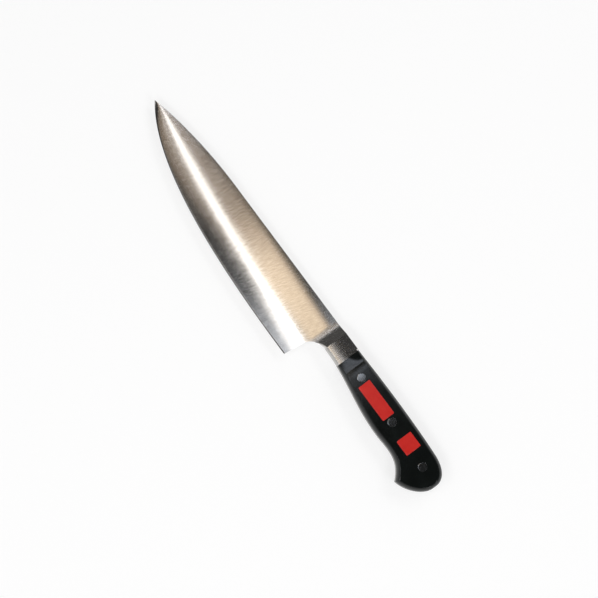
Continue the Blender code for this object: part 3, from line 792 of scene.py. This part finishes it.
def room():
    """The world by direction: the ceiling's level above one upward share, the walls' below another, and
    the door's where the direction leans to the tip and its share in y lies within half the door of its
    middle. Each gives way to the next by a smooth step."""
    world = bpy.data.worlds.new("studio_room")
    bpy.context.scene.world = world
    world.use_nodes = True
    tree = world.node_tree
    direction = add(tree, "SeparateXYZ", {0: add(tree, "TexCoord").outputs["Generated"]}).outputs
    beside = add(tree, "Math", {0: direction["Y"], 1: DOOR_MIDDLE}, operation="SUBTRACT").outputs[0]
    beside = add(tree, "Math", {0: beside}, operation="ABSOLUTE").outputs[0]
    spans = [
        (direction["Z"], CEILING_FROM, WALL_FROM),
        (beside, DOOR_HALF, DOOR_HALF + DOOR_FADE),
        (direction["X"], DOOR_FADE, 0.0),
    ]
    wall, aside, behind = [
        add(tree, "MapRange", {"Value": value, "From Min": start, "From Max": end},
            interpolation_type="SMOOTHSTEP").outputs[0]
        for value, start, end in spans
    ]
    off_door = add(tree, "Math", {0: aside, 1: behind}, operation="MAXIMUM").outputs[0]
    low = add(tree, "MapRange", {"Value": off_door, "To Min": DOOR_LEVEL, "To Max": WALL_LEVEL}).outputs[0]
    level = add(tree, "MapRange", {"Value": wall, "To Min": CEILING_LEVEL, "To Max": low}).outputs[0]
    tree.links.new(level, tree.nodes["Background"].inputs["Strength"])
    tree.nodes["Background"].inputs["Color"].default_value = linear("FFFFFF")


def soft_box(name, place, aim, size, hex_colour, brightness, turned_by, feather):
    """An area lamp aimed at a point. Its power is its brightness times pi times its area, and it fades out
    over the outer share of its width and its length, as a cloth box does."""
    lamp = bpy.data.lights.new(name, "AREA")
    lamp.shape = "RECTANGLE"
    lamp.size, lamp.size_y = size
    lamp.color = linear(hex_colour)[:3]
    lamp.energy = brightness * np.pi * size[0] * size[1]
    lamp.use_nodes = True
    tree = lamp.node_tree
    across = add(tree, "NewGeometry").outputs["Parametric"]
    centred = add(tree, "VectorMath", {0: across, 1: (2, 2, 0), 2: (-1, -1, 0)}, operation="MULTIPLY_ADD")
    out = add(tree, "VectorMath", {0: centred.outputs[0]}, operation="ABSOLUTE")
    both = add(tree, "SeparateXYZ", {0: out.outputs[0]}).outputs
    fades = [add(tree, "MapRange", {"Value": share, "From Min": 1.0, "From Max": 1.0 - feather},
                 interpolation_type="SMOOTHSTEP").outputs[0] for share in (both["X"], both["Y"])]
    fade = add(tree, "Math", {0: fades[0], 1: fades[1]}, operation="MULTIPLY")
    tree.links.new(fade.outputs[0], tree.nodes["Emission"].inputs["Strength"])
    holder = bpy.data.objects.new(name, lamp)
    look = (Vector(place) - Vector(aim)).to_track_quat("Z", "Y").to_matrix().to_4x4()
    holder.matrix_world = Matrix.Translation(place) @ look @ Matrix.Rotation(turned_by, 4, "Z")
    bpy.context.scene.collection.objects.link(holder)


# Each overhead lamp: name, x, y, length and width, colour, brightness, turn, and the share that fades.
# Each hangs LAMP_STEP over the one before, as lamps in one plane would hide each other where they overlap.
# STREAK_TURN puts a lamp's long side square to the belt's lines, which draw its reflection out that way.
LAMP_HEIGHT = 1.2
LAMP_STEP = 0.01
STREAK_TURN = -GRIND_LEAN
OVERHEAD = [
    ("streak_strip", 0.07, -0.0475, (0.38, 0.020), "FFFFFF", 2.6, STREAK_TURN, 0.1),
    ("tip_strip", 0.25, -0.068, (0.05, 0.010), "FFFFFF", 1.2, 0, 0.4),
    ("heel_strip", -0.03, -0.013, (0.14, 0.060), "FFFFFF", 2.3, STREAK_TURN, 0.6),
    ("warm_card", -0.01, -0.080, (0.22, 0.092), "FFE9CC", 1.4, STREAK_TURN / 2, 0.4),
    ("dim_card", 0.17, -0.088, (0.36, 0.122), "FFE6CC", 0.36, 0, 0.3),
    ("window", -0.09, 0.09, (0.20, 0.20), "EAF2FF", 1.2, 0, 0.3),
    ("far_card", 0.12, 0.14, (0.40, 0.20), "FFFFFF", 1.1, 0, 0.5),
    ("crease_card", -0.084, -0.135, (0.038, 0.07), "EAF2FF", 3.0, 0, 0.4),
    ("ramp_card", 0.298, -0.147, (0.05, 0.12), "EAF2FF", 4.2, 0, 0.25),
    ("ramp_back_card", 0.365, -0.20, (0.07, 0.14), "EAF2FF", 2.7, 0, 0.4),
]

room()
for count, (name, x, y, size, colour, brightness, turned_by, feather) in enumerate(OVERHEAD):
    height = LAMP_HEIGHT + LAMP_STEP * count
    soft_box(name, (x, y, height), (x, y, 0), size, colour, brightness, turned_by, feather)
soft_box("belly_side", (0, 0.62, 1.15), (0, 0, 0), (1.0, 0.30), "FFFFFF", 6.2, 0, 0.3)
soft_box("back_side", (0, -0.80, 1.00), (0, 0, 0), (1.0, 0.30), "FFFFFF", 3.2, 0, 0.3)
soft_box("butt_side", (-0.80, -0.05, 1.05), (0, 0, 0), (0.5, 0.4), "FFFFFF", 5.6, 0, 0.3)


# The camera: a long lens nearly over the knife, leaning a little to the side of its edge, and turned so
# that the tip points up and to the left.
CAMERA_DISTANCE = 3.0
PICTURE_WIDTH = 0.4258
CAMERA_LEAN = np.radians(5.8)
CAMERA_ROLL = np.radians(180 + 53.2)
PICTURE_MIDDLE = (-0.0051, -0.0098, DATUM[2])

camera = bpy.data.objects.new("camera", bpy.data.cameras.new("camera"))
camera.data.lens = camera.data.sensor_width * CAMERA_DISTANCE / PICTURE_WIDTH
leaned = Matrix.Rotation(-CAMERA_LEAN, 4, "X")
towards_camera = leaned @ Vector((0, 0, CAMERA_DISTANCE))
placed = Matrix.Translation(Vector(PICTURE_MIDDLE) + towards_camera)
camera.matrix_world = placed @ leaned @ Matrix.Rotation(CAMERA_ROLL, 4, "Z")
bpy.context.scene.collection.objects.link(camera)
bpy.context.scene.camera = camera
bpy.context.scene.view_settings.view_transform = "Standard"
